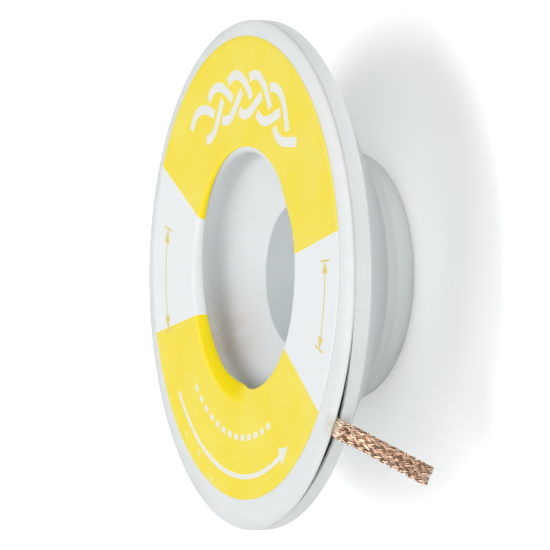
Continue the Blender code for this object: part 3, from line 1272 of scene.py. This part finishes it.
@dataclass
class Braid:
    """One and a half metres of flat woven copper: two layers of turns, then the end out of the slit."""

    seam: RimSeam
    length: float = 1.5
    width: float = 1.5 * MM
    thickness: float = 0.34 * MM
    inner_radius: float = 11.55 * MM
    lower_outer_radius: float = 14.75 * MM
    upper_outer_radius: float = 17.20 * MM
    pitch: float = 0.53 * MM
    lower_depth: float = 3.65 * MM
    upper_depth: float = 2.05 * MM
    sprung_radius: float = 18.85 * MM
    sprung_depth: float = 1.80 * MM
    exit_angle: float = math.radians(-35.0)
    bend_radius: float = 2.0 * MM
    swing: float = math.radians(0.75)
    film: float = 0.18
    tip_film: float = 0.5
    slit_depth: float = 0.59 * MM
    slit_reach: float = 1.2 * MM
    exit_roll: float = math.radians(10.0)
    end_roll: float = math.radians(19.0)
    step: float = 1.1 * MM
    tail_step: float = 0.12 * MM
    carriers: int = 10
    strands: int = 3
    wire_radius: float = 0.045 * MM
    wire_sides: int = 6
    weave_angle: float = math.radians(21.0)
    woven_half_width: float = 0.75 * MM
    woven_half_thickness: float = 0.085 * MM
    weave_height: float = 0.065 * MM
    wander: float = 0.042 * MM
    drift_wave: float = 1.1 * MM
    bob_wave: float = 0.8 * MM
    bob_share: float = 0.5
    fray: float = 0.16 * MM
    strand_spacing: float = 2.06
    wire_spread: float = 0.08
    shade_middle: float = 0.30
    shade_swing: float = 0.75
    shade_most: float = 0.9
    layer_change: float = 0.17
    spring_start: float = 0.14
    spring_end: float = 0.045
    bend_steps: int = 25
    swing_reach: float = 2.5 * MM
    slit_flat: float = 0.3 * MM
    quarter_start: float = 0.2 * MM
    quarter_end: float = 1.1 * MM
    roll_width: float = 1.2 * MM
    tip_width: float = 0.5 * MM
    crust_inside: Pair = (0.6 * MM, 0.1 * MM)
    crust_outside: Pair = (0.15 * MM, 0.95 * MM)
    woven_start: float = 1.7 * MM
    core_start: float = 1.5 * MM
    core_end: float = 0.9 * MM
    core_width: float = 0.84
    core_thickness: float = 0.42
    core_shade: float = 0.9
    ribbon_shade: float = 0.35
    ribbon_tone: float = 0.35
    ribbon_sides: int = 14
    section_steps: int = 240
    wander_ratios: Point = (1.0, 1.7, 2.9)
    seed: int = 7
    route: tuple[Pair, ...] = (
        (0.01760, 0.001440),
        (0.01840, 0.001440),
        (0.01920, 0.001430),
        (0.01990, 0.001190),
        (0.02060, 0.000925),
        (0.02120, 0.000925),
        (0.02200, 0.001300),
        (0.02350, 0.002450),
        (0.02570, 0.004250),
        (0.02785, 0.006010),
    )

    def coil(self) -> np.ndarray:
        """Work out the wound turns' centre line.

        The radius falls evenly with the angle in the lower layer and grows evenly in the upper one, and the
        depth passes from one layer to the other over a third of a turn. The last part of the last turn
        springs outward and towards the slit.

        Returns:
            Points from the lower layer's outer end to the start of the bend towards the slit.
        """
        lower_turns = (self.lower_outer_radius - self.inner_radius) / self.pitch
        upper_turns = (self.upper_outer_radius - self.inner_radius) / self.pitch
        turns = lower_turns + upper_turns
        mean = (self.inner_radius + self.upper_outer_radius) / 2.0
        count = int(turns * math.tau * mean / self.step)
        turn = np.linspace(0.0, turns, count)
        last = self.exit_angle - self.bend_lead()
        azimuth = last - (turns - turn) * math.tau
        radius = self.inner_radius + self.pitch * np.abs(turn - lower_turns)
        change = smooth_step(turn, lower_turns - self.layer_change, lower_turns + self.layer_change)
        depth = self.lower_depth + (self.upper_depth - self.lower_depth) * change
        sprung = smooth_step(turn, turns - self.spring_start, turns - self.spring_end)
        radius = radius + (self.sprung_radius - self.upper_outer_radius) * sprung
        depth = depth + (self.sprung_depth - self.upper_depth) * sprung
        return placed(radius, azimuth, depth)

    def bend_lead(self) -> float:
        """Return the angle round the axis between the bend's start and the exit."""
        return math.asin(self.bend_radius / (self.sprung_radius + self.bend_radius))

    def tail_line(self) -> np.ndarray:
        """Work out the centre line from the end of the last turn to the free end.

        It bends outward on a circle that touches the last turn and the exit's radial line, and then follows
        the route. Near the rim the route is raised to where the seam really opens.

        Returns:
            Points a tail step apart.
        """
        lead = self.bend_lead()
        outward = np.array([math.cos(self.exit_angle), math.sin(self.exit_angle)])
        aside = np.array([math.sin(self.exit_angle), -math.cos(self.exit_angle)])
        reach = self.sprung_radius + self.bend_radius
        foot = reach * math.cos(lead)
        turn = np.linspace(math.pi - lead, math.pi / 2.0, self.bend_steps)
        centre = outward * foot + aside * self.bend_radius
        spoke = outward[None] * np.cos(turn)[:, None] - aside[None] * np.sin(turn)[:, None]
        bend = centre + self.bend_radius * spoke
        route = np.array([point for point in self.route if point[0] > foot])
        flat = outward * route[:, :1]
        joint = float(np.interp(foot, *np.array(self.route).T))
        share = smooth_step(np.arange(len(turn)) + 1.0, 0.0, len(turn))
        bend_depth = self.sprung_depth + (joint - self.sprung_depth) * share
        line = np.concatenate([bend, flat])
        height = BODY_HEIGHT - np.concatenate([bend_depth, route[:, 1]])
        return self.swung(self.raised(smooth_line(np.column_stack([line, height]), self.tail_step)))

    def swung(self, line: np.ndarray) -> np.ndarray:
        """Turn the line about the axis, by an angle that grows smoothly from the last turn to past the rim.

        Args:
            line: The line.

        Returns:
            The turned line.
        """
        radius = np.hypot(line[:, 0], line[:, 1])
        turn = self.swing * smooth_step(radius, self.sprung_radius, RIM_RADIUS + self.swing_reach)
        azimuth = np.arctan2(line[:, 1], line[:, 0]) + turn
        return np.column_stack([level(radius, azimuth), line[:, 2]])

    def raised(self, line: np.ndarray) -> np.ndarray:
        """Raise the line over the rim, by the route's depth there less the depth of the slit's middle.

        Args:
            line: The line.

        Returns:
            The raised line.
        """
        radius = np.hypot(line[:, 0], line[:, 1])
        rim_depth = min(depth for _, depth in self.route)
        near = 1.0 - smooth_step(np.abs(radius - RIM_RADIUS), self.slit_flat, self.slit_reach)
        lifted = line.copy()
        lifted[:, 2] += (rim_depth - self.slit_depth) * near
        return lifted

    def twist(self, radius: np.ndarray) -> np.ndarray:
        """Work out how far the woven end is turned from standing on edge.

        It leans outward along the rear cone where the last turn springs out, lies flat in the slit after a
        quarter turn, and rolls a little back on its way to the end.

        Args:
            radius: Distance from the axis.

        Returns:
            The angle at each distance.
        """
        start, rolled_radius = self.upper_outer_radius + self.quarter_start, RIM_RADIUS + self.roll_width
        quarter = -smooth_step(radius, start, RIM_RADIUS - self.quarter_end) * math.pi / 2.0
        rolled = smooth_step(radius, RIM_RADIUS, rolled_radius) * self.exit_roll
        further = smooth_step(radius, rolled_radius, self.route[-1][0]) * (self.end_roll - self.exit_roll)
        return quarter + rolled + further

    def frames(self, line: np.ndarray, twist: np.ndarray) -> tuple[np.ndarray, np.ndarray]:
        """Work out which way the flat braid lies.

        The level side vector is the axis crossed with the line's direction. The width's vector turns from
        upright to level by the twist, and the flat side's vector is square to it.

        Args:
            line: The centre line.
            twist: 0 where the braid stands on edge and a quarter turn where it lies flat.

        Returns:
            The vectors across the width and across the thickness.
        """
        along = unit(np.gradient(line, axis=0))
        sideways = unit(np.cross([0.0, 0.0, 1.0], along))
        upright = np.cross(along, sideways)
        across = upright * np.cos(twist)[:, None] + sideways * np.sin(twist)[:, None]
        return across, np.cross(along, across)

    def ribbon(self, line: np.ndarray, twist: np.ndarray, fullness: np.ndarray) -> Surface:
        """Sweep the flat braid's section along its centre line.

        The section is a super-ellipse: the cosine to the power 0.4 across the width, and the sine to the
        power 0.6 across the thickness.

        Args:
            line: The centre line.
            twist: How far the braid is turned flat.
            fullness: 1 where the ribbon is the whole braid and 0 where it is only its core.

        Returns:
            The closed ribbon.
        """
        angle = around(self.ribbon_sides)[:, 0]
        wide = np.sign(np.cos(angle)) * np.abs(np.cos(angle)) ** 0.4 / 2.0
        thick = np.sign(np.sin(angle)) * np.abs(np.sin(angle)) ** 0.6 / 2.0
        across, flat = self.frames(line, twist)
        width = self.width * (self.core_width + (1.0 - self.core_width) * fullness)
        height = self.thickness * (self.core_thickness + (1.0 - self.core_thickness) * fullness)
        wide_part = across[:, None] * wide[:, None] * width[:, None, None]
        grid = line[:, None] + wide_part + flat[:, None] * thick[:, None] * height[:, None, None]
        values = {
            "tone": np.full((1, len(line)), self.ribbon_tone),
            # painted shade: the wound ribbon is darkened, and its core more where it shows between the
            # wires
            "shade": (self.ribbon_shade + (self.core_shade - self.ribbon_shade) * (1.0 - fullness))[None],
            "flux": self.flux(line)[None],
        }
        return swept_surface(grid[None], values)

    def flux(self, places: np.ndarray) -> np.ndarray:
        """Work out how much dried flux covers the braid.

        It is a film past the wound turns, more of it at the tip, and a whole crust at the rim.

        Args:
            places: Points of the braid.

        Returns:
            The cover at each point, from 0 to 1.
        """
        radius = np.hypot(places[..., 0], places[..., 1])
        past = smooth_step(radius, self.upper_outer_radius, self.sprung_radius)
        tip = smooth_step(radius, self.route[-1][0] - self.tip_width, self.route[-1][0])
        inside, outside = self.crust_inside, self.crust_outside
        crust = smooth_step(radius, RIM_RADIUS - inside[0], RIM_RADIUS - inside[1])
        crust = crust * (1.0 - smooth_step(radius, RIM_RADIUS + outside[0], RIM_RADIUS + outside[1]))
        return np.maximum(crust, past * (self.film + self.tip_film * tip))

    def flattened_tube(self, turn: np.ndarray) -> tuple[np.ndarray, np.ndarray]:
        """Work out the woven tube's flattened section: two half circles joined by straight sides.

        Args:
            turn: Place round the section, a whole number for each time round.

        Returns:
            The point and its outward unit vector, both across the width and across the thickness.
        """
        angle = np.linspace(0.0, math.tau, self.section_steps + 1)
        straight = self.woven_half_width - self.woven_half_thickness
        wide = straight * np.sign(np.round(np.cos(angle), 6)) + self.woven_half_thickness * np.cos(angle)
        thick = self.woven_half_thickness * np.sin(angle)
        length = stations(np.stack([wide, thick], axis=1))
        reached = (turn % 1.0) * length[-1]
        sides = [np.interp(reached, length, side) for side in (wide, thick, np.cos(angle), np.sin(angle))]
        return np.stack(sides[:2], axis=-1), unit(np.stack(sides[2:], axis=-1))

    def perimeter(self) -> float:
        """Return the length once round the flattened tube."""
        straight = self.woven_half_width - self.woven_half_thickness
        return 4.0 * straight + math.tau * self.woven_half_thickness

    def wires(self, line: np.ndarray, twist: np.ndarray, lay: Lay, rng: np.random.Generator) -> Surface:
        """Weave the strands that run one way round.

        A carrier's place round the section grows with the length times the weave angle's tangent. It passes
        over two carriers and under two, as a sine with one wave to four crossings, and its neighbour is
        half a wave out.

        Args:
            line: The woven end's centre line.
            twist: How far the braid is turned flat.
            lay: Which way the strands run round.
            rng: The source of the strands' small wanderings.

        Returns:
            The closed wires.
        """
        station = stations(line)
        across, flat = self.frames(line, twist)
        carrier, strand = np.meshgrid(np.arange(self.carriers), np.arange(self.strands), indexing="ij")
        carrier, strand = carrier.ravel()[:, None], strand.ravel()[:, None] - (self.strands - 1) / 2.0
        count = carrier.shape[0]
        ends = station[-1] - rng.uniform(0.0, self.fray, (count, 1))
        place = np.linspace(0.0, 1.0, len(line))[None] * ends
        progress = place * math.tan(self.weave_angle) / self.perimeter()
        crossing = progress * 2.0 * self.carriers
        spacing = self.wire_radius * self.strand_spacing / math.cos(self.weave_angle) / self.perimeter()
        drift = self.slow_noise(place, rng, self.drift_wave) * self.wander
        turn = carrier / self.carriers + lay.value * progress + strand * spacing + drift / self.perimeter()
        wave = np.sin(math.pi / 2.0 * (crossing + 0.5 * lay.value) + lay.value * math.pi * carrier)
        bob = self.slow_noise(place, rng, self.bob_wave) * self.wander * self.bob_share
        height = wave * self.weave_height + bob
        point, normal = self.flattened_tube(turn)
        point = point + normal * height[..., None]

        def along(values: np.ndarray) -> np.ndarray:
            """Return values of the centre line at each wire's own stations."""
            return np.stack([np.interp(place, station, values[:, axis]) for axis in range(3)], axis=-1)

        middle, wide, thick = along(line), along(across), along(flat)
        centre = middle + wide * point[..., :1] + thick * point[..., 1:]
        outward = unit(wide * normal[..., :1] + thick * normal[..., 1:])
        direction = unit(np.gradient(centre, axis=1))
        side = unit(np.cross(direction, outward))
        lift = np.cross(side, direction)
        angle = around(self.wire_sides)
        radius = self.wire_radius * (1.0 + self.wire_spread * rng.standard_normal((count, 1, 1, 1)))
        ring = side[:, :, None] * np.cos(angle) + lift[:, :, None] * np.sin(angle)
        tone = np.broadcast_to(rng.uniform(0.0, 1.0, (count, 1)), place.shape)
        # painted shade: strands are darker where they dip under their neighbours
        shade = np.clip(self.shade_middle - self.shade_swing * wave, 0.0, self.shade_most)
        values = {"tone": tone, "shade": shade, "flux": self.flux(centre)}
        return swept_surface(centre[:, :, None] + radius * ring, values)

    def slow_noise(self, place: np.ndarray, rng: np.random.Generator, wave: float) -> np.ndarray:
        """Let each strand wander: three sines of unrelated lengths and random phases, added and halved.

        Args:
            place: How far along the braid each strand's points lie.
            rng: The source of the phases.
            wave: The shortest sine's length.

        Returns:
            The wandering, mostly from -1 to 1.
        """
        phase = rng.uniform(0.0, math.tau, (3, place.shape[0], 1))
        waves = wave * np.array(self.wander_ratios)[:, None, None]
        return np.sin(place * math.tau / waves + phase).sum(axis=0) / 2.0

    def build(self, finish: Material) -> Piece:
        """Make the braid as one cord: the wound ribbon, its core in the woven end, and the woven wires.

        Args:
            finish: Its material.

        Returns:
            The piece.
        """
        coil, tail = self.coil(), self.tail_line()
        tail_radius = np.hypot(tail[:, 0], tail[:, 1])
        line = np.concatenate([coil[:-1], tail])
        radius = np.hypot(line[:, 0], line[:, 1])
        in_tail = np.arange(len(line)) >= len(coil) - 1
        twist = self.twist(radius)
        thinned = smooth_step(radius, RIM_RADIUS - self.core_start, RIM_RADIUS - self.core_end)
        fullness = 1.0 - np.where(in_tail, thinned, 0.0)
        woven = tail_radius > RIM_RADIUS - self.woven_start
        tail_twist = self.twist(tail_radius)
        rng = np.random.default_rng(self.seed)
        parts = [self.ribbon(line[:-2], twist[:-2], fullness[:-2])]
        parts += [self.wires(tail[woven], tail_twist[woven], lay, rng) for lay in Lay]
        nodes = ("braid_coil", "braid_tail")
        piece = make_piece("woven_braid", joined(parts), [finish], nodes)
        LOG.info("braid's centre line: %.3f m", stations(line)[-1])
        return piece


def smooth_line(points: np.ndarray, step: float) -> np.ndarray:
    """Read a smooth curve through points, a step apart.

    Each span between two points is the cubic whose slope at a point is half the way between the point's
    neighbours.

    Args:
        points: The points to pass through.
        step: The distance between the points read.

    Returns:
        Evenly spaced points of the curve.
    """
    padded = np.concatenate([[points[0] * 2.0 - points[1]], points, [points[-1] * 2.0 - points[-2]]])
    before, start, end, after = padded[:-3], padded[1:-2], padded[2:-1], padded[3:]
    share = np.linspace(0.0, 1.0, SPAN_STEPS, endpoint=False)[None, :, None]
    before, start, end, after = (part[:, None] for part in (before, start, end, after))
    bend = (
        start * 2.0
        + (end - before) * share
        + (before * 2.0 - start * 5.0 + end * 4.0 - after) * share**2
        + (start * 3.0 - before - end * 3.0 + after) * share**3
    ) / 2.0
    dense = np.concatenate([bend.reshape(-1, 3), points[-1:]])
    travelled = stations(dense)
    wanted = np.linspace(0.0, travelled[-1], int(round(travelled[-1] / step)) + 1)
    return np.stack([np.interp(wanted, travelled, dense[:, axis]) for axis in range(3)], axis=1)


@dataclass
class PhotoCamera:
    """The camera at the photograph's viewing angle, with its place and axes in the bobbin's frame."""

    location: Point = (307.92 * MM, 0.0, 146.0 * MM)
    right: Point = (0.40773, 0.0034, -0.9131)
    down: Point = (0.00136, -0.99999, -0.00311)
    focal_pixels: float = 4081.1
    image_pixels: float = 550.0
    sensor_width: float = 36.0
    nearest: float = 0.01
    furthest: float = 50.0

    def build(self) -> Piece:
        """Make the camera, square its axes, and set it as the scene's.

        Returns:
            The camera.
        """
        data = bpy.data.cameras.new("photo_camera")
        data.sensor_width = self.sensor_width
        data.lens = self.focal_pixels / self.image_pixels * self.sensor_width
        camera = bpy.data.objects.new("photo_camera", data)
        right = Vector(self.right).normalized()
        away = right.cross(Vector(self.down)).normalized()
        up = away.cross(right) * -1.0
        turn = Matrix((right, up, -away)).transposed().to_4x4()
        camera.matrix_world = Matrix.Translation(self.location) @ turn
        data.clip_start = self.nearest
        data.clip_end = self.furthest
        bpy.context.scene.collection.objects.link(camera)
        bpy.context.scene.camera = camera
        return camera


@dataclass(frozen=True)
class SoftLight:
    """A rectangular light that looks at the bobbin from an azimuth and an elevation in degrees."""

    name: str
    azimuth: float
    elevation: float
    size: Pair
    power: float
    distance: float = 0.62

    def place(self) -> Point:
        """Work out where it hangs: the distance times the cosines of its direction.

        Returns:
            The light's centre.
        """
        azimuth, elevation = math.radians(self.azimuth), math.radians(self.elevation)
        level = self.distance * math.cos(elevation)
        return (level * math.cos(azimuth), level * math.sin(azimuth), self.distance * math.sin(elevation))

    def build(self) -> Piece:
        """Make the light and turn it to the bobbin.

        Returns:
            The light.
        """
        data = bpy.data.lights.new(self.name, "AREA")
        data.shape = "RECTANGLE"
        data.size, data.size_y = self.size
        data.energy = self.power
        light = bpy.data.objects.new(self.name, data)
        light.location = self.place()
        aim = Vector(self.place()) - Vector((0.0, 0.0, BODY_HEIGHT))
        light.rotation_euler = aim.to_track_quat("Z", "Y").to_euler()
        bpy.context.scene.collection.objects.link(light)
        return light


@dataclass
class Studio:
    """A pale floor under the bobbin, and broad soft lights around it."""

    floor_radius: float = 3.0
    floor_steps: int = 96
    sky: float = 0.05
    sky_tint: Colour = (0.97, 0.985, 1.0, 1.0)
    lights: tuple[SoftLight, ...] = (
        SoftLight("overhead_light", 0.0, 90.0, (0.6, 0.6), 0.79),
        SoftLight("front_light", 0.0, 30.0, (0.4, 0.4), 0.93),
        SoftLight("side_light", -90.0, 60.0, (0.4, 0.4), 0.88),
        SoftLight("back_light", 180.0, 60.0, (0.4, 0.4), 2.32),
        SoftLight("low_left_light", 50.0, 4.0, (0.4, 0.06), 0.97),
        SoftLight("low_right_light", -50.0, 4.0, (0.4, 0.06), 0.53),
    )

    def floor(self, finish: Material) -> Piece:
        """Make the floor: a disc in the plane that the bobbin stands on.

        Args:
            finish: Its material.

        Returns:
            The floor.
        """
        rim = level(np.array(self.floor_radius), around(self.floor_steps)[:, 0])
        mesh = bpy.data.meshes.new("studio_floor")
        mesh.from_pydata(np.pad(rim, ((0, 0), (0, 1))).tolist(), [], [list(range(self.floor_steps))])
        mesh.materials.append(finish)
        floor = bpy.data.objects.new("studio_floor", mesh)
        bpy.context.scene.collection.objects.link(floor)
        return floor

    def build(self, finish: Material) -> None:
        """Make the floor, the sky and the lights, and show colours as they are lit.

        Args:
            finish: The floor's material.
        """
        self.floor(finish)
        world = bpy.data.worlds.new("studio_sky")
        world.use_nodes = True
        background = world.node_tree.nodes["Background"]
        background.inputs["Color"].default_value = self.sky_tint
        background.inputs["Strength"].default_value = self.sky
        bpy.context.scene.world = world
        bpy.context.scene.view_settings.view_transform = "Standard"
        for light in self.lights:
            light.build()


def main() -> None:
    """Build the camera, the cord, the other pieces and the studio, and report each piece."""
    logging.basicConfig(level=logging.INFO, format="%(name)s: %(message)s")
    PhotoCamera().build()
    seam = RimSeam()
    braid = Braid(seam)
    copper = BareCopper().build()
    braid.build(copper)

    at_exit = spot(RIM_RADIUS, braid.exit_angle, 0.3 * MM)
    recess_wall = spot(10.4 * MM, math.radians(215.0), 1.4 * MM)
    recess_foot = (-0.6 * MM, -9.75 * MM, BODY_HEIGHT - 1.9 * MM)
    far_rim = spot(20.0 * MM, math.radians(35.0), 0.2 * MM)
    residue = Stain(at_exit, radius=1.7 * MM, tint=colour(205, 200, 178), strength=0.9)
    speck = Stain(recess_foot, radius=0.35 * MM, tint=colour(150, 120, 90), strength=0.8)
    # painted light: a yellowish cast on the rim's margin beside the yellow print that stands for light from
    # the label
    painted_yellow_cast = Stain(far_rim, radius=9.0 * MM, tint=colour(232, 232, 222), strength=0.5)
    # painted light: a warm brownish cast on the recess wall that stands for warm light from the copper and
    # the yellow label
    painted_warm_bounce = Stain(recess_wall, radius=6.5 * MM, tint=colour(212, 176, 148), strength=0.45)
    front = FrontMoulding(seam)
    front.build(MouldedPlastic("front_moulded_plastic", (residue, speck, painted_yellow_cast, painted_warm_bounce)).build())
    # painted shade: the rear moulding is the same plastic in slightly greyer whites than the front's
    rear_shaded_whites = colour(231, 235, 236), colour(224, 230, 229)
    RearMoulding(seam).build(MouldedPlastic("rear_moulded_plastic", (residue,), *rear_shaded_whites).build())
    label = FaceLabel(front)
    rubbed = colour(246, 240, 205)
    places = [(-8.9, -15.0, 0.5), (-6.3, -17.1, 0.45), (-11.6, -13.5, 0.4), (6.6, 13.2, 0.3)]
    scuffs = tuple(Stain((x * MM, y * MM, BODY_HEIGHT), size * MM, rubbed, 0.85) for x, y, size in places)
    label.build(PrintedPaper(stains=scuffs).build(label.sectors()))
    pale_ink = PrintInk("pale_print_ink", colour(240, 242, 238), colour(244, 228, 120))
    tinted_ink = PrintInk("tinted_print_ink", colour(235, 215, 120), colour(238, 238, 225))
    LabelMarks(label).build(pale_ink.build(), tinted_ink.build())

    Studio().build(StudioFloor().build())


if __name__ == "__main__":
    main()
